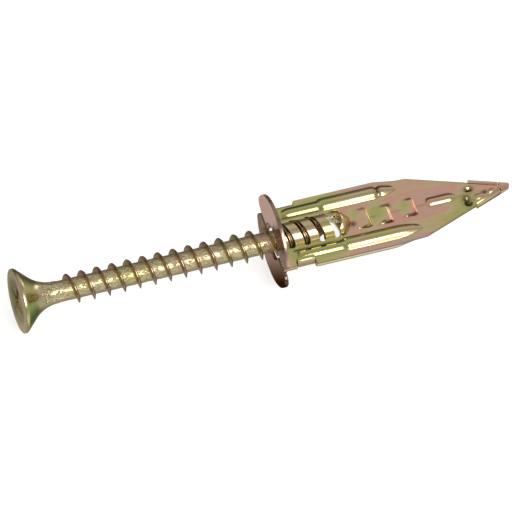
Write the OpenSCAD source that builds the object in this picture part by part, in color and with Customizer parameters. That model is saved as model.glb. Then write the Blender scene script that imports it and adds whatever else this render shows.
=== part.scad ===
// Hammer-in metal anchor for plasterboard, with its screw part-way in.
// Two pressed steel leaves lie face to face as a pointed blade. Each leaf is bent up
// at its blunt end into half of a round collar, and carries half of a nut: a raised
// half-tube with slots that the screw's thread runs in. The screw drives the leaves apart.
//
// Millimetres. The x axis is the screw's axis and points to the blade's tip. x = 0 is
// the collar's board side. The leaves meet on the plane z = 0.

/* [Screw] */
// Length of the screw from the flat of its head to its point
screw_len = 41.1; // [34:0.1:44]
// How far the flat of the head stands out from the collar
head_out = 33.4; // [30:0.1:36]
// Diameter over the crests of the thread
thread_d = 4; // [3.6:0.05:4.2]
// Diameter at the root of the thread
root_d = 2.7; // [2.4:0.05:2.8]
// Distance between neighbouring crests
pitch = 2; // [1.9:0.05:2.1]
// Width of the thread where it leaves the root
thread_base = 0.54; // [0.4:0.02:0.6]
// Width of the flat on the crest
thread_crest = 0.12; // [0.08:0.02:0.2]
// Length of the point, over which the screw narrows
point_len = 2.9; // [2:0.1:4]

/* [Screw head] */
// Diameter of the head
head_d = 8.3; // [7.6:0.1:9]
// Height of the straight edge around the head
head_edge = 0.4; // [0.2:0.05:0.6]
// Half angle of the head's cone, from the axis
head_angle = 44; // [40:1:48]
// Radius of the hollow curve from the cone to the shank
neck_r = 4.5; // [3.5:0.1:5]
// How much thicker than the root the plain neck is, on the radius
neck_swell = 0.07; // [0.04:0.01:0.12]
// Width across the cross recess
recess_span = 4.5; // [3.6:0.1:5]
// Depth of the cross recess
recess_depth = 2.3; // [1.6:0.1:2.6]
// Thickness of each wing of the cross recess
recess_wing = 0.95; // [0.6:0.05:1.2]

/* [Sheet] */
// Thickness of the steel sheet
sheet = 0.5; // [0.4:0.02:0.6]
// Inner radius of the bend between leaf and collar
bend_r = 0.25; // [0.15:0.05:0.3]
// Play between a leaf and the edges that wrap it
wrap_gap = 0.05; // [0.03:0.01:0.1]

/* [Collar] */
// Diameter of the collar
collar_d = 12; // [11:0.1:13]
// Width of the flat on each half's rim, where the pressing was cut from its strip
strip_cut = 1.5; // [1.3:0.1:1.8]
// Radius of the collar's corners at the split
collar_corner = 1; // [0.6:0.1:1.4]
// Diameter of the hole for the screw
collar_hole_d = 4.8; // [4.4:0.1:5.2]

/* [Leaf outline] */
// Length of a leaf from the board side of the collar to the tip
leaf_len = 31.3; // [29:0.1:34]
// Half width of the leaf next to the collar
neck_half = 4.65; // [4.4:0.05:4.8]
// Half width of the leaf along its body
body_half = 5; // [4.8:0.05:5.4]
// Where the leaf widens from its neck to its body
widen_x = 3.9; // [3.6:0.1:4.4]
// Where the body starts to narrow a little
early_taper_x = 14.4; // [13.5:0.1:15]
// Where the edges turn in to the tip
taper_x = 18.6; // [18.2:0.1:19.4]
// Half width of the leaf at that corner, on its wrapping side
corner_half = 4.75; // [4.6:0.05:4.9]
// Radius of the blade's tip
tip_r = 0.25; // [0.2:0.05:0.5]

/* [Wrapped edges] */
// Start of the tab that wraps the other leaf near the collar
tab_x = 1.45; // [1.2:0.05:1.7]
// Length of that tab
tab_len = 2.3; // [1.6:0.1:2.4]
// Width of the tab's lip over the other leaf
tab_lip = 0.65; // [0.5:0.05:0.7]
// Start of the edge that wraps the other leaf at the tip
hem_x = 26; // [25:0.1:27]
// Bare nose left beyond that edge
nose_len = 1.7; // [1.5:0.1:2]

/* [Formed nut] */
// Play around the screw's root inside the half-tube
nut_play = 0.07; // [0.05:0.01:0.12]
// Play between the foot of the thread and each side of its slot
slot_play = 0.09; // [0.08:0.01:0.16]
// Start of the half-tube behind the collar
nut_x = 0.35; // [0.3:0.05:0.6]
// End of the window behind the nut
window_end = 8.5; // [8.3:0.1:9]
// Radius of the window's far end
window_r = 2.3; // [2.2:0.1:2.6]
// End of the tapered lead-in behind the window
lead_end = 9.9; // [9.4:0.1:10]

/* [Beads] */
// Distance of the side beads from the middle
bead_y = 3.35; // [3.3:0.05:3.5]
// Outer radius of the low stretch of a side bead
low_bead_r = 0.8; // [0.7:0.05:0.9]
// Outer radius of the high stretch of a side bead
high_bead_r = 1.05; // [0.95:0.05:1.15]
// Start of the side beads
bead_x = 1.4; // [1.1:0.1:2]
// Length over which a side bead rises out of the leaf
bead_rise = 1.6; // [1.4:0.1:2]
// Length of the step from the low to the high stretch
bead_step = 0.5; // [0.3:0.1:0.8]
// Length over which a side bead sinks back into the leaf
bead_fall = 3.2; // [2.6:0.1:3.6]
// Where the bead on the wrapping side steps up
long_step_x = 7.7; // [7:0.1:8.5]
// End of the bead on the wrapping side
long_end_x = 18.2; // [17:0.1:18.6]
// Where the bead on the wrapped side steps up
short_step_x = 6.6; // [6:0.1:7]
// End of the bead on the wrapped side
short_end_x = 16.8; // [16:0.1:17]
// Start of the bead on the middle of the blade
tip_bead_x = 19.7; // [19.3:0.1:20.5]
// End of the bead on the middle of the blade
tip_bead_end = 24.3; // [23.5:0.1:24.5]

/* [Teeth and dimples] */
// Where the steep side of the first tooth stands
tooth_x = 12.3; // [12.1:0.1:12.5]
// From the first tooth to the second
tooth_gap = 2.8; // [2.6:0.1:3]
// From the second tooth to the third
last_tooth_gap = 3.3; // [3:0.1:3.4]
// Length of a tooth
tooth_len = 2.2; // [1.8:0.1:2.4]
// Width of a tooth
tooth_w = 3.4; // [2.6:0.1:3.6]
// Height of a tooth
tooth_h = 0.36; // [0.2:0.02:0.4]
// Steep length on the front of a tooth
tooth_fall = 0.3; // [0.2:0.05:0.5]
// Radius of the dimples at the tip
dimple_r = 0.7; // [0.5:0.05:0.8]
// Depth of the dimples
dimple_depth = 0.28; // [0.1:0.02:0.3]
// Where the pair of dimples lies
dimple_x = 25.3; // [25:0.1:25.6]

/* [Hidden] */
$fn = 64;

thread_r = thread_d / 2;
root_r = root_d / 2;
head_r = head_d / 2;
head_x = -sheet - head_out;                  // flat of the head
tip_x = head_x + screw_len;                  // point of the screw
bend_out = bend_r + sheet;                   // outer radius of the collar's bend
nut_in = root_r + nut_play;
nut_out = nut_in + sheet;
slot_over = 0.1;                             // how far a slot reaches past the crest
slot_w = thread_base + 2 * slot_play;
slot_reach = thread_r + slot_over - slot_w / 2; // middle of a slot's round end
crest_x = 0.65;                              // where a crest crosses the far side of z = 0
slots = 3;                                   // thread slots in a leaf before its window
teeth = [tooth_x, tooth_x + tooth_gap, tooth_x + tooth_gap + last_tooth_gap];
sunk = 0.01;                                 // how far a cut starts outside a face
taper = atan(corner_half / (leaf_len - taper_x));
inset = sheet + wrap_gap;                    // room for the other leaf's wrapping edge
wrapped_tip = leaf_len - inset / sin(taper);
nose_x = leaf_len - nose_len;
tab_end = tab_x + tab_len;

function arc(centre, r, from, to, n) =
    [for (i = [0:n]) let (a = from + (to - from) * i / n) centre + r * [cos(a), sin(a)]];

// Half width of the blade at x on its tapered outline
function taper_half(x) = (leaf_len - x) * tan(taper);

// ---- screw ----

// Neck and head are one turned profile with a hollow curve under the cone.
neck_out = root_r + neck_swell;
curve_y = neck_out + neck_r;                 // centre of the hollow curve
cone_end_r = curve_y - neck_r * cos(head_angle);
cone_end = head_edge + (head_r - cone_end_r) / tan(head_angle);
curve_x = cone_end + neck_r * sin(head_angle);
neck_end = curve_x + 0.25;                   // plain neck before the thread

module head_profile() {
    edge_round = 0.08;                       // bevel between the flat and the edge
    difference() {
        polygon([
            [0, 0], [head_r - edge_round, 0], [head_r, edge_round], [head_r, head_edge],
            [cone_end_r, cone_end], [cone_end_r, curve_x], [neck_out, curve_x],
            [neck_out, neck_end], [0, neck_end]
        ]);
        translate([curve_y, curve_x]) circle(r = neck_r);
    }
}

module recess_wing() {
    floor_half = 0.55;                       // half width left at the recess's floor
    rotate([90, 0, 0])
        linear_extrude(height = recess_wing, center = true)
            polygon([
                [-recess_span / 2, -sunk], [recess_span / 2, -sunk],
                [floor_half, recess_depth], [-floor_half, recess_depth]
            ]);
}

module head() {
    pit_r = recess_span * 0.3;               // the wings meet in a round pit
    difference() {
        rotate_extrude() head_profile();
        for (a = [0, 90]) rotate(a) recess_wing();
        translate([0, 0, -sunk])
            cylinder(h = recess_depth, r1 = pit_r, r2 = recess_wing / 2);
    }
}

// The thread is one strip wound round the shank. Each section of the strip has four
// points: root, crest, crest, root. The next turn starts where the last one ended.
per_turn = 24;
wind_from = head_x + neck_end - 0.55;        // the strip starts inside the neck
// turns are counted from the crest that crosses the far side at crest_x
first = floor((wind_from - crest_x) / pitch * per_turn);
last = ceil((tip_x - crest_x) / pitch * per_turn) - per_turn - 2;
fade = per_turn / 2;                         // sections over which the thread rises

function point_share(x) = min(1, max(0.04, (tip_x - x) / point_len));
function rise(k) = min(1, max(0, (k - first - per_turn / 2) / fade));
function wound(k, shift, r) =
    let (x = crest_x + k * pitch / per_turn + shift, a = k * 360 / per_turn,
         share = point_share(x))
    [x, r * share * cos(a), r * share * sin(a)];
function section(k) =
    let (r = root_r + (thread_r - root_r) * rise(k))
    [
        wound(k, -thread_base / 2, root_r), wound(k, -thread_crest / 2, r),
        wound(k, thread_crest / 2, r), wound(k, thread_base / 2, root_r)
    ];

module shank() {
    count = last - first;
    points = concat(
        [for (k = [first:last]) each section(k)],
        [for (k = [last + 1:last + per_turn]) wound(k, -thread_base / 2, root_r)],
        [[wind_from, 0, 0], [tip_x, 0, 0]]
    );
    tail = 4 * (count + 1);
    start = len(points) - 2;
    end = len(points) - 1;
    // index of a point; past the last section only the root line goes on
    function at(k, j) = k > count ? tail + k - count - 1 : 4 * k + j;
    function quad(a, b, c, d) = [[a, b, c], [a, c, d]];
    faces = [
        for (k = [0:count - 1], j = [0:2])
            each quad(at(k, j), at(k, j + 1), at(k + 1, j + 1), at(k + 1, j)),
        for (k = [0:count - 1])
            each quad(at(k, 3), at(k + per_turn, 0), at(k + per_turn + 1, 0), at(k + 1, 3)),
        for (k = [0:per_turn - 1]) [at(k, 0), at(k + 1, 0), start],
        for (j = [0:2]) [at(0, j + 1), at(0, j), start],
        [at(per_turn, 0), at(0, 3), start],
        for (k = [count:count + per_turn - 1]) [at(k + 1, 0), at(k, 0), end],
        for (j = [0:2]) [at(count, j), at(count, j + 1), end],
        [at(count, 3), at(count + per_turn, 0), end]
    ];
    polyhedron(points = points, faces = faces, convexity = 12);
}

module screw() {
    color("#a39a5e")
        union() {
            translate([head_x, 0, 0]) rotate([0, 90, 0]) head();
            shank();
        }
}

// ---- leaf ----
// A leaf is drawn as the upper one. Its edge on the y < 0 side wraps the other leaf
// at the tip, and its edge on the y > 0 side wraps the other leaf near the collar.

module leaf_outline() {
    step = 0.3;                              // slope of the step from neck to body
    notch_half = neck_half - inset;
    polygon(concat(
        [
            [bend_r, -neck_half], [tab_x - wrap_gap * 2, -neck_half],
            [tab_x - wrap_gap, -notch_half], [tab_end + wrap_gap, -notch_half],
            [tab_end + wrap_gap + step, -body_half], [early_taper_x, -body_half],
            [taper_x, -corner_half]
        ],
        arc([leaf_len - tip_r / sin(taper), 0], tip_r, taper - 90, 90 - taper, 4),
        [
            [nose_x, taper_half(nose_x)],
            [nose_x - wrap_gap, (wrapped_tip - nose_x + wrap_gap) * tan(taper)],
            [taper_x, (wrapped_tip - taper_x) * tan(taper)],
            [early_taper_x, body_half], [widen_x, body_half],
            [widen_x - step, neck_half], [bend_r, neck_half]
        ]
    ));
}

// A solid of revolution about a line along x, from a list of [x, radius] points
module turned(points) {
    rotate([0, 90, 0])
        rotate_extrude()
            polygon(concat(
                [[0, points[0][0]]],
                [for (p = points) [p[1], p[0]]],
                [[0, points[len(points) - 1][0]]]
            ));
}

// A bead's profile. At skin = 0 it is the outer form, and at skin = sheet the hollow
// under it, so the wall keeps the sheet's thickness. Both ends run down to a point,
// and the hollow ends earlier than the outer form on their slopes.
bead_end_r = 0.01;                           // radius left at a bead's pointed end
function tail_end(end_x, skin) = [end_x - skin * 1.5, bead_end_r];
function side_bead(step_x, end_x, skin) =
    let (low = low_bead_r - skin, high = high_bead_r - skin, shoulder = bead_fall * 0.44)
    [
        [bead_x + skin, bead_end_r], [bead_x + bead_rise, low],
        [step_x, low], [step_x + bead_step, high],
        [end_x - bead_fall, high], [end_x - shoulder - skin / 4, high * 0.8],
        tail_end(end_x, skin)
    ];
function tip_bead(skin) =
    let (rise = 0.5 + skin / 2, fall = 1.2, low = low_bead_r - skin)
    [
        [tip_bead_x + skin, bead_end_r], [tip_bead_x + rise, low],
        [tip_bead_end - fall, low + 0.05], tail_end(tip_bead_end, skin)
    ];

module beads(skin) {
    translate([0, -bead_y, 0]) turned(side_bead(long_step_x, long_end_x, skin));
    translate([0, bead_y, 0]) turned(side_bead(short_step_x, short_end_x, skin));
    turned(tip_bead(skin));
}

// Half-tube of the nut, and the lead-in that narrows behind the window. The lead-in
// stands a little wider than the tube, outside and in the hollow.
lead_swell = 0.1;
lead_straight = 0.8;                         // length before the lead-in narrows
module nut_body(nut_end) {
    wide = nut_out + lead_swell;
    turned([[nut_x, nut_out], [nut_end, nut_out]]);
    turned([[nut_end, wide], [nut_end + lead_straight, wide], [lead_end, sheet + 0.05]]);
}

module nut_bore(nut_end) {
    wide = nut_in + lead_swell;
    turned([[-2 * sheet, nut_in], [nut_end, nut_in]]);
    turned([[nut_end - sunk, wide], [nut_end + lead_straight, wide], [lead_end - 0.3, 0.1]]);
}

// A thread slot crosses the tube on the slope of the thread, with round ends. Its
// straight sides stand a hair inside the round ends, so that no faces just touch.
module slot(from_x) {
    hair = 0.0002;
    run = pitch / 2;
    tilt = atan(run / (2 * slot_reach));
    translate([from_x + run / 2, 0, -sheet])
        linear_extrude(height = nut_out + 2 * sheet) {
            rotate(tilt) square([slot_w - hair, 2 * slot_reach / cos(tilt)], center = true);
            for (end = [-1, 1])
                translate([-end * run / 2, end * slot_reach]) circle(d = slot_w);
        }
}

// The window opens out of the last slot, and ends in an arc.
module window(from_x) {
    left = from_x - slot_w / 2;
    swing = asin(slot_reach / window_r);
    translate([0, 0, -2 * sheet])
        linear_extrude(height = nut_out + 4 * sheet)
            polygon(concat(
                [[left, slot_reach], [left + pitch / 2, -slot_reach]],
                arc([window_end - window_r, 0], window_r, -swing, swing, 12)
            ));
}

// A tooth rises slowly towards the tip and falls steeply. The sheet keeps its thickness.
module tooth(x) {
    rotate([90, 0, 0])
        linear_extrude(height = tooth_w, center = true)
            polygon([
                [x - tooth_len, 0], [x - tooth_fall, tooth_h], [x, 0],
                [x, sheet], [x - tooth_fall, sheet + tooth_h], [x - tooth_len, sheet]
            ]);
}

module tooth_hollow(x) {
    rotate([90, 0, 0])
        linear_extrude(height = tooth_w - 2 * sunk, center = true)
            polygon([
                [x - tooth_len, -sunk], [x - tooth_len, 0], [x - tooth_fall, tooth_h],
                [x, 0], [x, -sunk]
            ]);
}

// Half of the collar, in the sheet's thickness, with round corners at the split
module half_collar() {
    corner_z = bend_out + collar_corner;
    corner_y = sqrt(pow(collar_d / 2 - collar_corner, 2) - corner_z * corner_z);
    flat_z = sqrt(collar_d * collar_d - strip_cut * strip_cut) / 2;
    translate([-sheet, 0, 0])
        rotate([90, 0, 90])
            linear_extrude(height = sheet)
                intersection() {
                    circle(d = collar_d);
                    polygon(concat(
                        arc([corner_y, corner_z], collar_corner, -90, -15, 5),
                        [[collar_d, corner_z + sheet], [collar_d, flat_z], [-collar_d, flat_z],
                         [-collar_d, corner_z + sheet]],
                        arc([-corner_y, corner_z], collar_corner, 195, 270, 5)
                    ));
                }
}

// The bend from the leaf up into the collar
module collar_bend() {
    rotate([90, 0, 0])
        linear_extrude(height = 2 * neck_half, center = true)
            intersection() {
                translate([bend_r, bend_out]) difference() {
                    circle(r = bend_out);
                    circle(r = bend_r);
                }
                translate([-sheet, 0]) square(bend_out);
            }
}

// The section of a wrapping edge, with its outer corners rounded off. It is drawn in
// the plane across the edge: the edge's outer face is at zero, and the leaf lies to the
// right. depth is how far the wall reaches past the mating plane.
module wall_section(depth, lip) {
    off = sheet * 0.4;                       // rounding of an outer corner
    mid = off * 0.3;
    root = sheet + 0.1;                      // the wall's foot lies inside the leaf
    lip_top = lip > 0 ? wrap_gap - depth + sheet : -depth;
    polygon([
        [0, sheet - off], [mid, sheet - mid], [off, sheet],
        [root, sheet], [root, 0], [sheet, 0], [sheet, lip_top],
        [sheet + lip, lip_top], [sheet + lip, -depth],
        [off, -depth], [mid, mid - depth], [0, off - depth]
    ]);
}

// Tab that folds round the other leaf's edge next to the collar
module collar_tab() {
    translate([tab_x, neck_half, 0])
        rotate([90, 0, 90])
            linear_extrude(height = tab_len)
                mirror([1, 0]) wall_section(2 * sheet + wrap_gap, tab_lip - sheet);
}

// Edge turned down beside the other leaf at the tip. It bulges a little past the
// leaf's own edge, as a folded edge does.
module tip_hem() {
    bulge = 0.02;
    hem_len = (nose_x - hem_x) / cos(taper) - wrap_gap;
    translate([hem_x, -taper_half(hem_x), 0])
        rotate(taper)
            translate([0, -bulge, 0])
                rotate([90, 0, 90])
                    linear_extrude(height = hem_len)
                        wall_section(sheet, 0);
}

// Two dimples lie beside each other behind the tip. The second is shallower.
module dimples() {
    ball = (dimple_r * dimple_r + dimple_depth * dimple_depth) / (2 * dimple_depth);
    ball_z = sheet + ball - dimple_depth;
    translate([dimple_x - 0.3, -1.3, ball_z]) sphere(r = ball);
    translate([dimple_x + 0.3, 0.5, ball_z + 0.12]) sphere(r = ball);
}

module leaf(first_slot) {
    window_x = first_slot + slots * pitch;
    nut_end = window_x + pitch / 2;
    difference() {
        union() {
            difference() {
                union() {
                    linear_extrude(height = sheet) leaf_outline();
                    intersection() {
                        union() {
                            beads(0);
                            nut_body(nut_end);
                        }
                        translate([0, -leaf_len / 2, 0]) cube(leaf_len);
                    }
                    for (x = teeth) tooth(x);
                }
                for (i = [0:slots]) slot(first_slot + i * pitch);
                window(window_x);
            }
            half_collar();
            collar_bend();
            collar_tab();
            tip_hem();
        }
        beads(sheet);
        nut_bore(nut_end);
        for (x = teeth) tooth_hollow(x);
        dimples();
        translate([-2 * sheet, 0, 0]) rotate([0, 90, 0])
            cylinder(h = 2 * sheet + bend_r + sunk, d = collar_hole_d);
    }
}

module upper_leaf() {
    color("#b3a06a") leaf(crest_x);
}

// The lower leaf is the same pressing turned over. Its slots lie half a pitch away,
// where the other half of each turn passes.
module lower_leaf() {
    color("#a8925f") rotate([180, 0, 0]) leaf(crest_x - pitch / 2);
}

upper_leaf();
lower_leaf();
screw();
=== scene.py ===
"""Metal plasterboard anchor: two pressed leaves and their screw, in yellow zinc plated steel.

Sizes are in millimetres and become metres only where a mesh is made. The x axis is the
screw's axis and points to the blade's tip. The leaves meet on the plane z = 0.
"""
import math

import bpy
import numpy as np
from mathutils import Matrix, Vector


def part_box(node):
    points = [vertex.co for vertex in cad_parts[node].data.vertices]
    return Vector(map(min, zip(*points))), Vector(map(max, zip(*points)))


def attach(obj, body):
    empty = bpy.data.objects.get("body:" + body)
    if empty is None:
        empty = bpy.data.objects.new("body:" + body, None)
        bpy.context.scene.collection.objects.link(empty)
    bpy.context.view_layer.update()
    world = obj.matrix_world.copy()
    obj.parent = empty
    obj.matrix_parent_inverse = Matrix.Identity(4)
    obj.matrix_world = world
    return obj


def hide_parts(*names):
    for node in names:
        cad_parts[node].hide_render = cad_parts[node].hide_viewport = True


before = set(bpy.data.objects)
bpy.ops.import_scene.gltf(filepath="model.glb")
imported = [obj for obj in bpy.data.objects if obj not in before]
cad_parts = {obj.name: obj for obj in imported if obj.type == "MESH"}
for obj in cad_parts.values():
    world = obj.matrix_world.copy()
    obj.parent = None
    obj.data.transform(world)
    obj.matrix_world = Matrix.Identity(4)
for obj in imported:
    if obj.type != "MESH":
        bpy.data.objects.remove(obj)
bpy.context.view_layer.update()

MM = 0.001
SHARP_ANGLE = math.radians(38)      # a fold of more than this is shaded as an edge

# ---- driving sizes, in millimetres ----

# frame: the box of each solid gives the places along the screw
_, leaf_high = (np.array(corner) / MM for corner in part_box("upper_leaf"))
screw_low, screw_high = (np.array(corner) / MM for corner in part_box("screw"))

HEAD_X = screw_low[0]               # flat of the head
POINT_X = screw_high[0]             # point of the screw
HEAD_R = screw_high[1]              # radius of the head
COLLAR_TOP = leaf_high[2]           # small flat at the top of the collar's rim

# screw
THREAD_R = 2.0                      # radius of the thread's crest
ROOT_R = 1.35
PITCH = 2.0
THREAD_BASE = 0.54                  # width of the thread at the root
THREAD_CREST = 0.12                 # width of its crest
CREST_X = 0.65                      # a crest crosses the far side here
POINT_LEN = 2.9                     # length of the taper to the point
HEAD_EDGE = 0.4                     # thickness of the head's rim
HEAD_ANGLE = math.radians(44)       # of the cone under the head, from the axis
NECK_R = 4.5                        # radius of the hollow curve under the head
NECK_SWELL = 0.07                   # how far the curve starts outside the root
NECK_FLAT = 0.25                    # from the curve's end to where the thread may start
RECESS_SPAN = 4.5                   # across two opposite wings
RECESS_DEPTH = 2.3
RECESS_WING = 0.95                  # width of a wing

# sheet
SHEET = 0.5                         # thickness
BEND_R = 0.25                       # inner radius of the bend into the collar
BEND_OUT = BEND_R + SHEET
BEND_MID = BEND_R + SHEET / 2
WRAP_GAP = 0.05                     # play where one leaf's edge wraps the other leaf
INSET = SHEET + WRAP_GAP            # how far an edge keeps back for what wraps it
EDGE = 0.055                        # rounding of a sheared edge
EDGE_PART = 0.3                     # share of EDGE at the row in the middle of a rounding
EDGE_REACH = 0.25                   # how far into the sheet the rounding shifts the grid
HAIR = 0.002                        # keeps a bar's faces off the sheet's own
FAR_OFF = 9.0                       # stands for no edge near by

# collar
COLLAR_R = 6.0
COLLAR_CORNER = 1.0                 # round corner beside the split
COLLAR_HOLE = 2.4                   # radius of the hole for the screw

# leaf outline
LEAF_LEN = 31.3                     # to the sharp tip, before it is rounded
BODY_HALF = 5.0                     # half widths
NECK_HALF = 4.65
WIDEN_X = 3.9                       # the neck has widened to the body here
WIDEN_LEAN = 0.8                    # length of that slope for each millimetre across
WIDEN_COSINE = 0.78                 # turns a length along x into a distance from the slope
TAPER_X = 18.6                      # start of the main taper
EARLY_TAPER_X = 14.4                # start of a slight taper before it
CORNER_HALF = 4.75                  # half width at TAPER_X, on the wrapping side
TIP_R = 0.25
TAB_X = 1.45                        # start of the tab that wraps the other leaf
TAB_LEN = 2.3
TAB_LIP = 0.65                      # from the tab's outer face to the end of its lip
TAB_ROOT = 0.34                     # a wrapping edge's own bar covers this much
HEM_X = 26.0                        # start of the edge that is turned down at the tip
NOSE_LEN = 1.7                      # bare tip past that edge
HEM_BULGE = 0.02                    # how far a hem stands out of the leaf's edge
TAPER = math.atan(CORNER_HALF / (LEAF_LEN - TAPER_X))

# formed nut
NUT_PLAY = 0.07                     # between the bore and the screw's root
NUT_IN = ROOT_R + NUT_PLAY
NUT_OUT = NUT_IN + SHEET
NUT_X = 0.35                        # start of the half-tube
MOUTH_LAP = 0.04                    # how far the sheet beside its mouth reaches into the bore
SLOTS = 3
SLOT_PLAY = 0.09                    # on each side of the thread
SLOT_OVER = 0.1                     # how far a slot reaches past the crest
SLOT_W = THREAD_BASE + 2 * SLOT_PLAY
SLOT_REACH = THREAD_R + SLOT_OVER - SLOT_W / 2
WINDOW_END = 8.5
WINDOW_R = 2.3                      # of the window's round end
LEAD_END = 9.9                      # the lead-in behind the window runs out here
LEAD_SWELL = 0.1                    # how far it stands out of the half-tube
LEAD_STRAIGHT = 0.8

# beads
BEAD_Y = 3.35                       # middle of a side bead
LOW_BEAD_R = 0.8                    # outer radius
HIGH_BEAD_R = 1.05
BEAD_X = 1.4                        # start of both side beads
BEAD_RISE = 1.6                     # length of the round start
BEAD_STEP = 0.5                     # length of the step up
BEAD_FALL = 3.2                     # length of the pointed end
LONG_BEAD = (7.7, 18.2)             # where it steps up, and where it ends
SHORT_BEAD = (6.6, 16.8)
BEAD_NOTCH = (14.45, 0.22, 0.3)     # nick in the short bead: place, depth, half length
TIP_BEAD = (19.7, 24.3)             # start and end
TIP_BEAD_RISE = 0.6
TIP_BEAD_FALL = 1.6

# strip and crease on both sides of the nut
STRIP_H = 0.02
STRIP_HALF = 2.3                    # from the middle to where the strip falls off
CREASE_Y = 2.62
CREASE_DEPTH = 0.02

# teeth and dimples
TEETH = ((12.3, -1.5, 1.7), (15.1, -1.6, 1.4), (18.4, -1.35, 1.5))  # foot of the steep side, ends
TOOTH_LEN = 2.2
TOOTH_H = 0.36
TOOTH_FALL = 0.4                    # length of the steep side
TOOTH_NEAR_END = 0.06               # length over which each end falls to the sheet
TOOTH_FAR_END = 0.8
RIDGE_TURN = math.atan2(0.65, 3.3)
TIP_BUMPS = (                       # height, x, y, half length, half width, turn
    (-0.38, 25.0, -1.25, 0.70, 0.85, 0), (-0.30, 25.6, 0.55, 0.70, 0.42, 0),
    (0.20, 26.5, -0.85, 1.1, 0.5, RIDGE_TURN), (0.20, 28.35, -0.45, 0.9, 0.38, RIDGE_TURN),
    (-0.10, 27.5, -0.55, 0.45, 0.4, 0),
)


# ---- shaping helpers ----

def smooth_max(a, b, blend):
    """The larger of a and b, with a fillet where they differ by less than blend."""
    near = np.maximum(blend - np.abs(a - b), 0) / blend
    return np.maximum(a, b) + near * near * blend / 4


def smooth_min(a, b, blend):
    """The smaller of a and b, with a fillet where they differ by less than blend."""
    return -smooth_max(-a, -b, blend)


def step_up(x, start, run):
    """Rises smoothly from 0 at start to 1 at start + run, as 3u^2 - 2u^3."""
    u = np.clip((x - start) / run, 0, 1)
    return u * u * (3 - 2 * u)


def steps(*stretches):
    """Lines at equal steps over stretches that follow each other: (from, to, step), ..."""
    lines = [np.linspace(a, b, max(1, round((b - a) / gap)), endpoint=False) for a, b, gap in stretches]
    return np.append(np.concatenate(lines), stretches[-1][1])


# ---- meshes ----

def new_piece(name, body, node, material, points, faces, marks):
    """Make one object of points in millimetres and lists of faces, smooth but for sharp folds.

    Points that no face uses are left out. Each mark becomes an attribute of the points.
    """
    used = np.unique(np.concatenate([f.ravel() for f in faces]))
    renumber = np.zeros(len(points), np.int64)
    renumber[used] = np.arange(len(used))
    corners = np.concatenate([renumber[f].ravel() for f in faces])
    sizes = np.concatenate([np.full(len(f), f.shape[1]) for f in faces])
    mesh = bpy.data.meshes.new(name)
    mesh.vertices.add(len(used))
    mesh.vertices.foreach_set("co", (points[used] * MM).astype(np.float32).ravel())
    mesh.loops.add(len(corners))
    mesh.loops.foreach_set("vertex_index", corners.astype(np.int32))
    mesh.polygons.add(len(sizes))
    mesh.polygons.foreach_set("loop_start", (np.cumsum(sizes) - sizes).astype(np.int32))
    mesh.update(calc_edges=True)
    mesh.validate()
    mesh.shade_smooth()
    mesh.set_sharp_from_angle(angle=SHARP_ANGLE)
    for label, values in marks.items():
        layer = mesh.attributes.new(label, "FLOAT", "POINT")
        layer.data.foreach_set("value", values[used].astype(np.float32))
    mesh.materials.append(material)
    piece = bpy.data.objects.new(name, mesh)
    bpy.context.scene.collection.objects.link(piece)
    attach(piece, body)
    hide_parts(node)


def cut_grid(along, across, room):
    """Cut a flat grid along the line where room(s, y) is zero, and keep where it is positive.

    A cell wholly inside stays a square. A cell that the line crosses is cut at the two
    points where room, taken as straight along each side, is zero.
    """
    n, m = len(along), len(across)
    s, y = np.meshgrid(along, across, indexing="ij")
    value = room(s, y)
    nearly_zero = 1e-6
    value = np.where(np.abs(value) < nearly_zero, nearly_zero, value)
    inside = value > 0
    corner = np.arange(n * m).reshape(n, m)
    grid = np.stack([s, y], -1)

    def crossing(a, b, p, q):
        share = np.where(a * b < 0, a / np.where(a == b, 1, a - b), 0.5)
        return p + (q - p) * share[..., None]

    on_s = crossing(value[:-1], value[1:], grid[:-1], grid[1:])
    on_y = crossing(value[:, :-1], value[:, 1:], grid[:, :-1], grid[:, 1:])
    points = np.concatenate([grid.reshape(-1, 2), on_s.reshape(-1, 2), on_y.reshape(-1, 2)])
    side_s = n * m + np.arange(on_s.shape[0] * m).reshape(-1, m)
    side_y = n * m + side_s.size + np.arange(n * (m - 1)).reshape(n, -1)
    corners = (corner[:-1, :-1], corner[1:, :-1], corner[1:, 1:], corner[:-1, 1:])
    sides = (side_s[:, :-1], side_y[1:], side_s[:, 1:], side_y[:-1])
    kept = (inside[:-1, :-1], inside[1:, :-1], inside[1:, 1:], inside[:-1, 1:])
    case = sum(k.astype(int) << i for i, k in enumerate(kept))
    faces = []
    for which in range(1, 16):
        cells = case == which
        if not cells.any():
            continue
        rings = []
        if which in (5, 10):        # two opposite corners are kept, each in its own triangle
            for i in range(4):
                if which >> i & 1:
                    rings.append([corners[i], sides[i], sides[i - 1]])
        else:
            ring = []
            for i in range(4):
                here, after = which >> i & 1, which >> (i + 1) % 4 & 1
                ring += [corners[i]] if here else []
                ring += [sides[i]] if here != after else []
            rings.append(ring)
        faces += [np.stack([part[cells] for part in ring], -1) for ring in rings]
    return points, faces


def rim_of(faces):
    """The sides that only one face has, each in that face's direction."""
    ends = np.concatenate([
        np.stack([f[:, i], f[:, (i + 1) % f.shape[1]]], -1) for f in faces for i in range(f.shape[1])
    ])
    big = ends.max() + 1
    one_way, other_way = ends[:, 0] * big + ends[:, 1], ends[:, 1] * big + ends[:, 0]
    return ends[~np.isin(one_way, other_way)]


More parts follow.
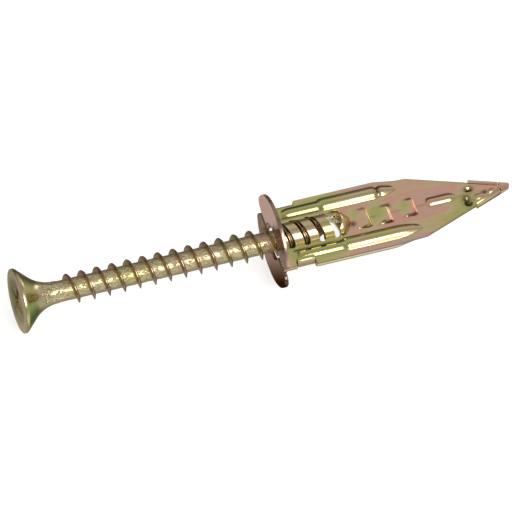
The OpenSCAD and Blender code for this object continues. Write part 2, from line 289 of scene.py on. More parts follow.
def pressed_sheet(along, across, room, outer, inner, fold):
    """A sheet with its two faces and its sheared edge, as points, faces and a mark for the edge.

    The blank is a flat grid cut to its outline. Each point is lifted by outer(s, y) and by
    inner(s, y), and fold(s, y, height) brings both to their place. Near the outline the
    grid is pushed inwards, by EDGE at the outline and by nothing past EDGE_REACH, and four
    more rows of points make the cut side and round it off.
    """
    flat, faces = cut_grid(along, across, room)
    s, y = flat.T
    nudge = 1e-4
    gap = room(s, y)
    slope = np.stack([
        room(s + nudge, y) - room(s - nudge, y), room(s, y + nudge) - room(s, y - nudge)
    ], -1)
    inward = slope / np.maximum(np.linalg.norm(slope, axis=1, keepdims=True), 1e-9)
    push = EDGE * np.clip(1 - gap / EDGE_REACH, 0, 1)
    body = flat + inward * push[:, None]
    rim = rim_of(faces)
    ids, rim_local = np.unique(rim, return_inverse=True)
    rim_local = rim_local.reshape(rim.shape)
    edge = flat[ids]
    eased = edge + inward[ids] * EDGE * EDGE_PART
    top, low = outer(edge[:, 0], edge[:, 1]), inner(edge[:, 0], edge[:, 1])
    drop = np.minimum(EDGE, (top - low) * 0.4)
    rows = [
        fold(eased[:, 0], eased[:, 1], top - drop * EDGE_PART),
        fold(edge[:, 0], edge[:, 1], top - drop),
        fold(edge[:, 0], edge[:, 1], low + drop),
        fold(eased[:, 0], eased[:, 1], low + drop * EDGE_PART),
    ]
    count = len(flat)
    points = np.concatenate([
        fold(body[:, 0], body[:, 1], outer(body[:, 0], body[:, 1])),
        fold(body[:, 0], body[:, 1], inner(body[:, 0], body[:, 1])), *rows,
    ])
    between = [2 * count + i * len(ids) + np.arange(len(ids)) for i in range(4)]
    levels = [ids, *between, ids + count]
    walls = []
    for upper, lower in zip(levels, levels[1:]):
        a, b = rim_local[:, 0], rim_local[:, 1]
        walls.append(np.stack([upper[b], upper[a], lower[a], lower[b]], -1))
    all_faces = faces + [f[:, ::-1] + count for f in faces] + walls
    cut = np.zeros(len(points))
    cut[2 * count:] = np.repeat([0.5, 1, 1, 0.5], len(ids))
    return points, all_faces, cut


def swept_bar(section, start, end, place):
    """A bar: one closed outline, drawn anticlockwise in (across, up), carried from start to end.

    Its two ends are rounded by drawing the outline in along its own normals, and
    place(along, across, up) brings the points to their place.
    """
    ahead, behind = np.roll(section, -1, 0) - section, section - np.roll(section, 1, 0)
    run = ahead / np.linalg.norm(ahead, axis=1, keepdims=True)
    run = run + behind / np.linalg.norm(behind, axis=1, keepdims=True)
    inward = np.stack([-run[:, 1], run[:, 0]], -1)
    inward /= np.linalg.norm(inward, axis=1, keepdims=True)
    stations = [
        (start, 1), (start + EDGE_PART * EDGE, EDGE_PART), (start + EDGE, 0),
        (end - EDGE, 0), (end - EDGE_PART * EDGE, EDGE_PART), (end, 1),
    ]
    n = len(section)
    rings = [section + inward * EDGE * share for _, share in stations]
    points = np.concatenate([
        place(np.full(n, x), ring[:, 0], ring[:, 1]) for (x, _), ring in zip(stations, rings)
    ])
    k = np.arange(n)
    after = (k + 1) % n
    faces = [
        np.stack([i * n + k, i * n + after, (i + 1) * n + after, (i + 1) * n + k], -1)
        for i in range(len(stations) - 1)
    ]
    faces += [k[::-1][None], (k + n * (len(stations) - 1))[None]]
    return points, faces, np.zeros(len(points))


def joined(*shells):
    """Several closed shells as one list of points, faces and marks."""
    points, faces, marks, count = [], [], [], 0
    for shell_points, shell_faces, shell_marks in shells:
        points.append(shell_points)
        faces += [f + count for f in shell_faces]
        marks.append(shell_marks)
        count += len(shell_points)
    return np.concatenate(points), faces, np.concatenate(marks)


# ---- the leaf ----
# A leaf is drawn as the upper one. s is the distance along the sheet, equal to x on the
# blade, and it goes on round the bend and up the collar as it falls below BEND_R.

def folded(s, y, height):
    """Flat beyond the bend, turned about the bend's axis within it, and upright past it."""
    turn = np.clip((BEND_R - s) / BEND_MID, 0, math.pi / 2)
    past = np.maximum(BEND_R - s - BEND_MID * math.pi / 2, 0)
    radius = BEND_OUT - height
    x = np.where(s > BEND_R, s, BEND_R - radius * np.sin(turn))
    return np.stack([x, y, BEND_OUT - radius * np.cos(turn) + past], -1)


def collar_room(s, y):
    """Distance to the collar's outline: a disc, split on its middle, with round corners."""
    height = folded(s, y, SHEET / 2 + 0 * s)[..., 2]
    side = np.abs(y)
    overlap = 0.02                  # of the half disc and the strip that bends into it
    corner_z = BEND_OUT + COLLAR_CORNER
    corner_y = math.sqrt((COLLAR_R - COLLAR_CORNER) ** 2 - corner_z ** 2)
    disc = np.minimum(COLLAR_R - np.hypot(y, height), COLLAR_TOP - height)
    low = np.where(
        side > corner_y, COLLAR_CORNER - np.hypot(side - corner_y, height - corner_z), height - BEND_OUT
    )
    half_disc = np.where(height < corner_z, np.minimum(low, disc), disc)
    strip = np.minimum(NECK_HALF - side, BEND_OUT + overlap - height)
    hole = np.maximum(np.hypot(y, height) - COLLAR_HOLE, s - BEND_R)
    return np.minimum(np.maximum(half_disc, strip), hole)


def outline_room(x, y):
    """Distance to the blade's outline: straight edges, the neck, the notch and the tapers."""
    near, far = y + BODY_HALF, BODY_HALF - y

    def past_slope(inset):
        """Distance past the slope that widens the neck, at an inset from the body's edge."""
        return (x - WIDEN_X + inset * WIDEN_LEAN) * WIDEN_COSINE

    # the neck, narrower up to a slope at its end
    neck_near = np.maximum(y + NECK_HALF, past_slope(near))
    neck_far = np.maximum(NECK_HALF - y, past_slope(far))
    near, far = np.minimum(near, neck_near), np.minimum(far, neck_far)
    # the notch that the other leaf's tab folds round
    outside_notch = np.maximum(x - TAB_X - TAB_LEN - WRAP_GAP, TAB_X - WRAP_GAP - x)
    near = np.minimum(near, np.maximum(y + NECK_HALF - INSET, outside_notch))
    # the root of this leaf's own tab
    outside_tab = np.maximum(x - TAB_X - TAB_LEN, TAB_X - x)
    far = np.minimum(far, np.maximum(NECK_HALF - TAB_ROOT - y, outside_tab))
    # the tapers
    reach = (LEAF_LEN - x) * math.sin(TAPER)
    near_taper, far_taper = reach + y * math.cos(TAPER), reach - y * math.cos(TAPER)
    nose_x = LEAF_LEN - NOSE_LEN
    outside_hem = np.maximum(x - nose_x, HEM_X - x)
    near = np.minimum(near, np.minimum(near_taper, np.maximum(near_taper - TAB_ROOT, outside_hem)))
    wrapped_y = (LEAF_LEN - TAPER_X) * math.tan(TAPER) - INSET / math.cos(TAPER)

    def early_taper(off, half):
        """Distance to the slight taper from the full width to half, before the main one."""
        turn = math.atan((BODY_HALF - half) / (TAPER_X - EARLY_TAPER_X))
        return (EARLY_TAPER_X - x) * math.sin(turn) + (BODY_HALF - off) * math.cos(turn)

    inset_taper = np.maximum(far_taper - INSET, x - nose_x + WRAP_GAP)
    near = np.minimum(near, early_taper(-y, CORNER_HALF))
    far = np.minimum(np.minimum(far, early_taper(y, wrapped_y)), np.minimum(far_taper, inset_taper))
    room = np.minimum(near, far)
    tip_x = LEAF_LEN - TIP_R / math.sin(TAPER)
    beyond = (x - tip_x) > np.abs(y) * math.tan(TAPER)
    return np.where(beyond, np.minimum(TIP_R - np.hypot(x - tip_x, y), room + TIP_R), room)


def slot_room(x, y, first_slot):
    """Distance outside the thread slots and the window behind them.

    A slot is as wide as SLOT_W about a line that crosses from the far end to the near end
    while the thread goes half round. The window starts as one more slot would.
    """
    run = PITCH / 2
    room = np.full(np.shape(x), FAR_OFF)
    for i in range(SLOTS + 1):
        start = first_slot + i * PITCH
        along = (x - start) * run - (y - SLOT_REACH) * 2 * SLOT_REACH
        share = np.clip(along / (run ** 2 + 4 * SLOT_REACH ** 2), 0, 1)
        away = np.hypot(x - start - run * share, y - SLOT_REACH * (1 - 2 * share))
        room = np.minimum(room, away - SLOT_W / 2)
    window_x = first_slot + SLOTS * PITCH
    slant = math.hypot(run, 2 * SLOT_REACH)
    left = ((x - window_x) * 2 * SLOT_REACH + (y - SLOT_REACH) * run) / slant + SLOT_W / 2
    window = smooth_min(left, SLOT_REACH - np.abs(y), 0.3)
    window = smooth_min(window, WINDOW_R - np.hypot(x - WINDOW_END + WINDOW_R, y), 0.5)
    return np.minimum(room, -window)


def leaf_room(first_slot):
    """Distance to the edge of the blank, positive in the steel."""
    def room(s, y):
        blade = np.minimum(outline_room(s, y), slot_room(s, y, first_slot))
        mouth = np.maximum(s - NUT_X, np.abs(y) - NUT_IN + MOUTH_LAP)
        collar = np.minimum(collar_room(s, y), FAR_OFF)
        return np.where(s > BEND_R, np.minimum(blade, mouth), collar)
    return room


def bead_radius(x, step_x, end_x):
    """Outer radius of a side bead: a round start, a low and a high stretch, a pointed end."""
    start = np.clip((x - BEAD_X) / BEAD_RISE, 0, 1)
    fall = np.clip((x - end_x + BEAD_FALL) / BEAD_FALL, 0, 1)
    soft = 0.2                      # length by which the step is softened at both ends
    radius = LOW_BEAD_R + (HIGH_BEAD_R - LOW_BEAD_R) * step_up(x, step_x - soft, BEAD_STEP + 2 * soft)
    radius = radius * np.sqrt(1 - (1 - start) ** 2)
    notch_x, notch_depth, notch_half = BEAD_NOTCH
    notch = notch_depth * np.exp(-((x - notch_x) / notch_half) ** 2) * (end_x == SHORT_BEAD[1])
    return (SHEET + (radius - SHEET) * (1 - fall ** 1.7) - notch) * (start > 0) * (x < end_x + 0.1)


def tip_bead_radius(x):
    """Outer radius of the bead on the middle of the blade."""
    start, end = TIP_BEAD
    rise = np.clip((x - start) / TIP_BEAD_RISE, 0, 1)
    fall = np.clip((x - end + TIP_BEAD_FALL) / TIP_BEAD_FALL, 0, 1)
    return LOW_BEAD_R * np.sqrt(1 - (1 - rise) ** 2) * (1 - fall ** 2)


def nut_radius(x, nut_end):
    """Outer radius of the half-tube and of the lead-in that narrows behind the window."""
    tube = NUT_OUT * step_up(x, NUT_X - 0.02, 0.1)
    lead = NUT_OUT + LEAD_SWELL
    shrink = np.clip((x - nut_end - LEAD_STRAIGHT) / (LEAD_END - nut_end - LEAD_STRAIGHT), 0, 1)
    lead = lead - (lead - SHEET) * shrink ** 1.3
    return np.where(x < nut_end, tube + LEAD_SWELL * step_up(x, nut_end - 0.2, 0.2), lead)


def round_over(radius, off):
    """Height of a circle of this radius at a distance off from its middle line."""
    return np.sqrt(np.maximum(radius ** 2 - off ** 2, 0))


def tooth_height(x, y):
    """Three teeth that rise slowly towards the tip and fall steeply, softer at the far end."""
    height = np.zeros(np.shape(x))
    for tooth_x, low_y, high_y in TEETH:
        along = x - tooth_x
        rise = np.clip((along + TOOTH_LEN) / (TOOTH_LEN - TOOTH_FALL), 0, 1) ** 1.4
        fall = 1 - step_up(along, -TOOTH_FALL, TOOTH_FALL)
        near_end = np.clip((y - low_y) / TOOTH_NEAR_END, 0, 1)
        far_end = 1 - step_up(y, high_y - TOOTH_FAR_END, TOOTH_FAR_END)
        height = np.maximum(height, TOOTH_H * rise * fall * (near_end * far_end))
    return height


def tip_marks(x, y):
    """Dimples and the short ridge behind the tip: each is (1 - u^2 - v^2)^1.5 on its own axes."""
    height = 0 * x
    for rise, bump_x, bump_y, half_length, half_width, turn in TIP_BUMPS:
        u = (x - bump_x) * math.cos(turn) + (y - bump_y) * math.sin(turn)
        v = (y - bump_y) * math.cos(turn) - (x - bump_x) * math.sin(turn)
        round_off = np.clip(1 - (u / half_length) ** 2 - (v / half_width) ** 2, 0, 1) ** 1.5
        height = height + rise * round_off
    return height


def shoulder(x, y):
    """A shallow raised strip on both sides of the half-tube, and a fine crease beside each."""
    side = np.abs(y)
    strip = STRIP_H * (1 - step_up(side, STRIP_HALF, 0.35))
    strip = strip * step_up(x, 1.5, 0.3) * (1 - step_up(x, 8.0, 0.8))
    crease = CREASE_DEPTH * np.exp(-((side - CREASE_Y) / 0.11) ** 2)
    crease = crease * step_up(x, 1.3, 0.3) * (1 - step_up(x, 7.4, 0.5))
    return strip - crease


def leaf_heights(first_slot):
    """Height of a leaf's outer and inner face over the plane where the leaves meet.

    Each face is the highest of the plate and the round forms. The inner face follows the
    teeth, the ridge and the same forms at radii smaller by SHEET, and makes the nut's bore.
    """
    nut_end = first_slot + SLOTS * PITCH + PITCH / 2

    def formed(x, y, skin):
        height = 0 * x
        for radius, off in (
            (bead_radius(x, *LONG_BEAD), y + BEAD_Y), (bead_radius(x, *SHORT_BEAD), y - BEAD_Y),
            (tip_bead_radius(x), y), (nut_radius(x, nut_end), y),
        ):
            height = np.maximum(height, round_over(np.maximum(radius - skin, 0), off))
        return height

    def outer(s, y):
        x = np.maximum(s, BEND_R)
        plate = SHEET + tooth_height(x, y) + tip_marks(x, y) + shoulder(x, y)
        return smooth_max(plate, formed(x, y, 0), 0.14)

    def inner(s, y):
        x = np.maximum(s, BEND_R)
        plate = tooth_height(x, y) + np.maximum(tip_marks(x, y), 0)
        bore = np.where(x < nut_end, round_over(NUT_IN, y), 0) * (s > BEND_R)
        return np.maximum(np.maximum(plate, formed(x, y, SHEET)), bore)

    return outer, inner


def arc(cy, cz, radius, start, end, count=6):
    """Points on an arc, in degrees, anticlockwise from start to end."""
    turn = np.radians(np.linspace(start, end, count))
    return np.stack([cy + radius * np.cos(turn), cz + radius * np.sin(turn)], -1)


def wall_outline(depth, lip):
    """Section of an edge that wraps the other leaf: outer face at 0, the sheet to the right.

    It hangs down to depth below the leaves' plane, and a lip that is longer than 0 turns
    back under the other leaf. The points go anticlockwise.
    """
    top_r, low_r = 0.46, 0.34
    foot = INSET + 0.1
    shape = [arc(top_r, SHEET - top_r - HAIR, top_r, 90, 180)]
    if lip > 0:
        lip_top = WRAP_GAP - depth + SHEET
        shape += [
            arc(low_r, low_r - depth, low_r, 180, 270),
            arc(SHEET + lip - EDGE, EDGE - depth, EDGE, 270, 360, 3),
            arc(SHEET + lip - EDGE, lip_top - EDGE, EDGE, 0, 90, 3), [[SHEET, lip_top]],
        ]
    else:
        shape += [
            arc(EDGE, EDGE - depth, EDGE, 180, 270, 3),
            arc(SHEET - EDGE, EDGE - depth, EDGE, 270, 360, 3),
        ]
    shape += [[[SHEET, HAIR], [foot, HAIR], [foot, SHEET - HAIR]]]
    return np.concatenate(shape)


def tab_bar():
    """The tab that folds round the other leaf's edge next to the collar."""
    def place(along, across, up):
        return np.stack([along, NECK_HALF - across, up], -1)

    section = wall_outline(2 * SHEET + WRAP_GAP, TAB_LIP - SHEET)
    points, faces, marks = swept_bar(section, TAB_X, TAB_X + TAB_LEN, place)
    return points, [f[:, ::-1] for f in faces], marks


def hem_bar():
    """The edge turned down beside the other leaf at the tip."""
    nose_x = LEAF_LEN - NOSE_LEN
    start_y = -(LEAF_LEN - HEM_X) * math.tan(TAPER)

    def place(along, across, up):
        across = across - HEM_BULGE
        x = HEM_X + along * math.cos(TAPER) - across * math.sin(TAPER)
        y = start_y + along * math.sin(TAPER) + across * math.cos(TAPER)
        return np.stack([x, y, up], -1)

    length = (nose_x - HEM_X) / math.cos(TAPER) - WRAP_GAP
    return swept_bar(wall_outline(SHEET, 0), 0, length, place)


def leaf_shells(first_slot):
    """The pressed sheet with its tab and its hem, drawn as the upper leaf."""
    collar_top = BEND_R - BEND_MID * math.pi / 2 - (COLLAR_R - BEND_OUT)
    along = steps(
        (collar_top, -0.6, 0.13), (-0.6, BEND_R, 0.07), (BEND_R, 10, 0.1), (10, 19, 0.12),
        (19, LEAF_LEN, 0.12),
    )
    half = steps(
        (0, 1.26, 0.14), (1.26, 2.16, 0.06), (2.16, 4.5, 0.09), (4.5, BODY_HALF, 0.1),
        (BODY_HALF, COLLAR_R, 0.14),
    )
    across = np.concatenate([-half[:0:-1], half])
    outer, inner = leaf_heights(first_slot)
    sheet = pressed_sheet(along, across, leaf_room(first_slot), outer, inner, folded)
    return joined(sheet, tab_bar(), hem_bar())


# ---- the screw ----

def thread_profile(off):
    """Radius at a distance off from the crest: straight flanks, eased at the crest and the foot."""
    flank_run = (THREAD_BASE - THREAD_CREST) / 2
    flank = ROOT_R + (THREAD_R - ROOT_R) * (THREAD_BASE / 2 - np.abs(off)) / flank_run
    return smooth_max(smooth_min(flank, THREAD_R + 0 * off, 0.06), ROOT_R + 0 * off, 0.12)


def shank():
    """The thread and root: one profile, a pitch long, wound round the axis.

    A point at turn t and distance off from the crest lies at x = CREST_X + PITCH * t + off,
    and one winding's end is the next winding's start: joint runs from the last column to the
    first column a whole turn on. The thread grows from the root over half a turn, the root is
    slightly uneven, the crest slightly worn, and towards the point the radius shrinks as
    1 - (1 - share)^2.1.
    """
    per_turn = 72
    half = np.array([0, 0.03, 0.07, 0.12, 0.17, 0.22, 0.26, 0.3, 0.35, 0.42, 0.52, 0.64, 0.76, 0.88])
    off = np.concatenate([-half[::-1], half[1:]])
    off = np.insert(off, 0, -PITCH / 2)
    m = len(off)
    hidden = 0.55                   # length at the start that lies inside the neck
    wind_from = HEAD_X + neck_end() - hidden
    first = math.floor((wind_from - CREST_X) / PITCH * per_turn)
    last = math.ceil((POINT_X - CREST_X) / PITCH * per_turn) - per_turn
    k = np.arange(first, last + per_turn + 1)
    angle = k * 2 * math.pi / per_turn
    rise = np.clip((k - first - per_turn / 2) / (per_turn / 2), 0, 1)[:, None]
    x = CREST_X + PITCH * (k / per_turn)[:, None] + off[None]
    radius = ROOT_R + (thread_profile(off)[None] - ROOT_R) * rise
    around = angle[:, None]
    uneven = 0.010 * np.sin(5 * around + 2.3 * x) * np.sin(3.1 * x + 2 * around)
    uneven = uneven + 0.006 * np.sin(11 * around - 5 * x)
    worn = 0.012 * (1 + np.sin(9 * around + x))
    near = 0.05
    radius = radius - uneven * (radius < ROOT_R + near) - worn * (radius > THREAD_R - near)
    share = np.clip((POINT_X - x) / POINT_LEN, 0.03, 1)
    radius = radius * (1 - (1 - share) ** 2.1)
    x = np.minimum(x, POINT_X - 0.02)
    points = np.stack([x, radius * np.cos(around), radius * np.sin(around)], -1).reshape(-1, 3)
    n = last - first
    i, j = np.meshgrid(np.arange(n), np.arange(m - 1), indexing="ij")
    quads = np.stack([i * m + j, i * m + j + 1, (i + 1) * m + j + 1, (i + 1) * m + j], -1).reshape(-1, 4)
    i = np.arange(n)
    joint = np.stack([i * m + m - 1, (i + per_turn) * m, (i + per_turn + 1) * m, (i + 1) * m + m - 1], -1)
    start, end = len(points), len(points) + 1
    points = np.concatenate([points, [[wind_from, 0, 0], [POINT_X, 0, 0]]])
    i = np.arange(per_turn)
    j = np.arange(m - 1)
    tris = [
        np.stack([i * m, (i + 1) * m, 0 * i + start], -1),
        np.stack([j + 1, j, 0 * j + start], -1),
        np.array([[per_turn * m, m - 1, start]]),
        np.stack([(n + i + 1) * m, (n + i) * m, 0 * i + end], -1),
        np.stack([n * m + j, n * m + j + 1, 0 * j + end], -1),
        np.array([[n * m + m - 1, (n + per_turn) * m, end]]),
    ]
    root = np.zeros(len(points))
    root[:-2] = np.repeat((thread_profile(off) < ROOT_R + 0.15)[None], len(k), 0).ravel()
    return points, [quads, joint] + tris, root


def head_curve():
    """The hollow curve's middle, as y and length from the flat, and the cone's radius and end."""
    curve_y = ROOT_R + NECK_SWELL + NECK_R
    cone_r = curve_y - NECK_R * math.cos(HEAD_ANGLE)
    cone_end = HEAD_EDGE + (HEAD_R - cone_r) / math.tan(HEAD_ANGLE)
    return curve_y, cone_end + NECK_R * math.sin(HEAD_ANGLE), cone_r, cone_end


def neck_end():
    """Length from the head's flat to where the thread may start."""
    return head_curve()[1] + NECK_FLAT


def recess_radius(turn, depth):
    """How far the cross recess reaches at each angle: two crossed wings that narrow with depth."""
    share = depth / RECESS_DEPTH
    half_wing = RECESS_WING / 2 * (1 - 0.3 * share)
    bottom_r = 0.5
    span = RECESS_SPAN / 2 + (bottom_r - RECESS_SPAN / 2) * share

    def wing(angle):
        side = half_wing / np.maximum(np.abs(np.sin(angle)), 1e-3)
        end = span / np.maximum(np.abs(np.cos(angle)), 1e-3)
        return smooth_min(side, end, 0.2)

    return np.minimum(smooth_max(wing(turn), wing(turn + math.pi / 2), 0.3), span * 1.1)


def head():
    """The head, turned from its profile, with the cross recess sunk in its flat.

    Each row is a ring: its length from the flat and its radius, in the recess one for each angle.
    """
    count = 240
    turn = np.arange(count) * 2 * math.pi / count
    curve_y, curve_x, cone_r, cone_end = head_curve()
    base = neck_end() + 0.02
    rows = [(base, ROOT_R * 0.5), (neck_end(), ROOT_R + NECK_SWELL - 0.02)]
    for u in np.linspace(0, HEAD_ANGLE, 14):
        rows.append((curve_x - NECK_R * math.sin(u), curve_y - NECK_R * math.cos(u)))
    for u in np.linspace(0.15, 0.96, 5):
        rows.append((cone_end + (HEAD_EDGE - cone_end) * u, cone_r + (HEAD_R - cone_r) * u))
    rows.append((HEAD_EDGE - 0.03, HEAD_R))
    edge_r, lip = 0.1, 0.07             # roundings of the rim and of the recess's mouth
    for u in np.linspace(0, math.pi / 2, 5):
        rows.append((edge_r * (1 - math.sin(u)), HEAD_R - edge_r * (1 - math.cos(u))))
    mouth, rim = recess_radius(turn, 0), HEAD_R - edge_r
    for u in (0.25, 0.5, 0.75, 0.93):
        rows.append((0, rim + (mouth + lip - rim) * u))
    for u in np.linspace(0, math.pi / 2, 4):
        rows.append((lip * (1 - math.cos(u)), mouth + lip * (1 - math.sin(u))))
    for depth in np.linspace(0.2, RECESS_DEPTH * 0.97, 12):
        rows.append((depth, recess_radius(turn, depth)))
    points = np.concatenate([
        np.stack([0 * turn + HEAD_X + x, r * np.cos(turn), r * np.sin(turn)], -1) for x, r in rows
    ])
    centre = len(points)
    points = np.concatenate([points, [[HEAD_X + base, 0, 0], [HEAD_X + RECESS_DEPTH, 0, 0]]])
    k = np.arange(count)
    after = (k + 1) % count
    i = np.arange(len(rows) - 1)[:, None]
    quads = np.stack([i * count + k, i * count + after, (i + 1) * count + after, (i + 1) * count + k], -1)
    last = (len(rows) - 1) * count
    tris = [
        np.stack([after, k, 0 * k + centre], -1),
        np.stack([last + k, last + after, 0 * k + centre + 1], -1),
    ]
    faces = [quads.reshape(-1, 4)[:, ::-1]] + [t[:, ::-1] for t in tris]
    return points, faces, np.zeros(len(points))


# ---- materials ----

def colour(*rgb):
    return (*rgb, 1.0)


WHITE = colour(1, 1, 1)
ROSE = colour(0.93, 0.49, 0.37)
MAUVE = colour(0.80, 0.56, 0.46)
TAN = colour(0.80, 0.62, 0.38)
OLIVE = colour(0.74, 0.63, 0.27)
GREEN = colour(0.62, 0.60, 0.24)
STRAW = colour(0.68, 0.60, 0.35)
LEAF_GREEN = colour(0.50, 0.60, 0.22)
GRAIN = colour(0.50, 0.42, 0.22)
# dull plating on sheared edges and the thread's root, also painted shade there
DULL_AND_SHADED_EDGE = colour(0.20, 0.15, 0.08)
# painted light: the cream that the bore mark lays inside the nut and on the lower leaf's sheared edges
PAINTED_LIGHT_CREAM = colour(0.96, 0.88, 0.60)
# painted shade: the colour and sheen that the dark mark paints where shade falls
PAINTED_SHADE = colour(0.045, 0.032, 0.02)
PAINTED_SHADE_SHEEN = colour(0.12, 0.09, 0.06)
SHEET_HUES = ((0.05, MAUVE), (0.27, ROSE), (0.50, TAN), (0.68, OLIVE), (0.90, GREEN))
SCREW_HUES = ((0.08, MAUVE), (0.25, TAN), (0.45, STRAW), (0.65, OLIVE), (0.9, LEAF_GREEN))


def set_stops(ramp, stops):
    """Give a colour ramp its stops, each (position, colour), in rising order."""
    ramp.elements[0].position, ramp.elements[1].position = stops[0][0], stops[-1][0]
    for position, _ in stops[1:-1]:
        ramp.elements.new(position)
    for element, (_, tint) in zip(ramp.elements, stops):
        element.color = tint


def zinc_material(name, hues, patch, drift, speckle, edge_shade, pitting):
    """Yellow zinc plating, with painted shade and painted light laid on by marks: its hue follows the film
    mark and drifts in patches.

    patch and speckle are the scales of the patches and of the fine grain, in cycles per metre,
    and drift is how far the patches move the hue. edge_shade dulls what cut_edge marks and paints
    shade there, and pitting is how deep the small pits go where pitted marks them.
    """
    material = bpy.data.materials.new(name)
    material.use_nodes = True
    nodes, links = material.node_tree.nodes, material.node_tree.links
    shader = nodes["Principled BSDF"]
    shader.inputs["Metallic"].default_value = 1.0
    where = nodes.new("ShaderNodeTexCoord")
    mapping = nodes.new("ShaderNodeMapping")
    mapping.inputs["Scale"].default_value = (0.7, 1.0, 1.0)
    links.new(where.outputs["Object"], mapping.inputs["Vector"])

    def feed(socket, value):
        if isinstance(value, (int, float, tuple)):
            socket.default_value = value
        else:
            links.new(value, socket)

    def noise(scale, detail, rough=0.5, warp=0.0):
        node = nodes.new("ShaderNodeTexNoise")
        node.inputs["Scale"].default_value = scale
        node.inputs["Detail"].default_value = detail
        node.inputs["Roughness"].default_value = rough
        node.inputs["Distortion"].default_value = warp
        links.new(mapping.outputs["Vector"], node.inputs["Vector"])
        return node.outputs["Fac"]

    def math_node(kind, a, b):
        node = nodes.new("ShaderNodeMath")
        node.operation = kind
        feed(node.inputs[0], a)
        feed(node.inputs[1], b)
        return node.outputs[0]

    def swing(source, middle, gain):
        """gain * (source - middle)"""
        return math_node("MULTIPLY", math_node("SUBTRACT", source, middle), gain)

    def mix(share, a, b):
        node = nodes.new("ShaderNodeMix")
        node.data_type = "RGBA"
        feed(node.inputs[0], share)
        feed(node.inputs[6], a)
        feed(node.inputs[7], b)
        return node.outputs[2]

    def mark(label):
        node = nodes.new("ShaderNodeAttribute")
        node.attribute_name = label
        return node.outputs["Fac"]

    # colour
    film = math_node("ADD", mark("film"), swing(noise(patch, 3, 0.5, 0.4), 0.5, drift))
    hue = nodes.new("ShaderNodeValToRGB")
    set_stops(hue.color_ramp, hues)
    links.new(film, hue.inputs["Fac"])
    edge, dark = mark("cut_edge"), mark("dark")
    plating = mix(swing(noise(speckle, 6, 0.7), 0.45, 0.8), hue.outputs["Color"], GRAIN)
    # sheared edges and the root are dulled and darkened with painted shade
    plating = mix(math_node("MULTIPLY", edge, edge_shade), plating, DULL_AND_SHADED_EDGE)
    # the bore mark paints a cream light
    plating = mix(mark("bore"), plating, PAINTED_LIGHT_CREAM)
    # the dark mark paints shade into the colour and into the sheen
    links.new(mix(dark, plating, PAINTED_SHADE), shader.inputs["Base Color"])
    slant = mix(0.55, plating, WHITE)
    links.new(mix(dark, slant, PAINTED_SHADE_SHEEN), shader.inputs["Specular Tint"])
    # polish
    rough = math_node("ADD", 0.13, math_node("MULTIPLY", noise(speckle * 0.35, 4, 0.6), 0.15))
    links.new(math_node("ADD", rough, math_node("MULTIPLY", edge, 0.14)), shader.inputs["Roughness"])
    # grain and pits
    bump = nodes.new("ShaderNodeBump")
    bump.inputs["Strength"].default_value = 0.85 if pitting else 0.22
    bump.inputs["Distance"].default_value = 0.04 * MM
    hollow = math_node("MAXIMUM", math_node("SUBTRACT", noise(3400, 3, 0.6), 0.50), 0.0)
    pits = math_node("MULTIPLY", hollow, math_node("MULTIPLY", mark("pitted"), -pitting))
    grain = math_node("MULTIPLY", noise(speckle * 0.6, 5, 0.65), 0.25 if pitting else 1.0)
    links.new(math_node("ADD", grain, pits), bump.inputs["Height"])
    links.new(bump.outputs["Normal"], shader.inputs["Normal"])
    return material


sheet_zinc = zinc_material(
    "yellow_zinc_sheet", SHEET_HUES, patch=170, drift=1.1, speckle=1500, edge_shade=0.28, pitting=0.0
)
screw_zinc = zinc_material(
    "yellow_zinc_screw", SCREW_HUES, patch=190, drift=1.2, speckle=1900, edge_shade=0.10, pitting=10.0
)

# ---- marks of the plating, and of painted light and shade ----
# Every point carries film, the plating's thickness from 0, mauve and rose, to 1, green, dark for painted
# shade, bore for painted cream light inside the nut, cut_edge for duller plating with painted shade, and
# pitted for pits.

# soft spots on a leaf, each (x, y, half length, half width)
GREEN_TEETH = ((10.5, 0.8, 0.85, 1.1), (13.3, 0.4, 1.0, 1.3), (17.0, 0.25, 0.8, 1.0))
TOOTH_EDGES = ((12.0, 0, 0.3, 1.8), (14.9, 0, 0.3, 1.6))
GREEN_TIP_BEAD = ((22, -0.3, 2.6, 0.6),)
ROSE_TAB = ((TAB_X + TAB_LEN / 2, NECK_HALF + 0.3, 2, 0.9), (0.8, -4.3, 0.9, 0.8))
ROSE_NUT = ((1.4, -0.9, 1.6, 1.3),)
# painted shade at the teeth's ends, the lead-in's end and the bead's nick, and in the dimples and the pit
# behind the tip
SHADED_CORNERS = (
    (13.9, -1.4, 0.35, 0.22), (17.1, -1.3, 0.3, 0.2), (15.1, 0.95, 0.28, 0.35),
    (10.0, -0.6, 0.4, 0.35), (14.4, BEAD_Y, 0.35, 0.5),
)
SHADED_DIMPLES = ((24.9, -1.1, 0.55, 0.8), (25.6, 0.5, 0.6, 0.42), (27.45, -0.4, 0.4, 0.2))
BORE_END = 7.6                      # the bright inside follows the nut up to here


def spot(x, y, places):
    """Soft round spots, each exp(-u^2 - v^2) about its place."""
    return np.max([
        np.exp(-((x - spot_x) / half_length) ** 2 - ((y - spot_y) / half_width) ** 2)
        for spot_x, spot_y, half_length, half_width in places
    ], axis=0)


def foot_line(y, middle_y, radius, width):
    """A soft line along the far foot of a round form, where it meets the sheet."""
    foot = middle_y + np.sqrt(np.maximum(radius ** 2 - SHEET ** 2, 0))
    return np.exp(-((y - foot) / width) ** 2)


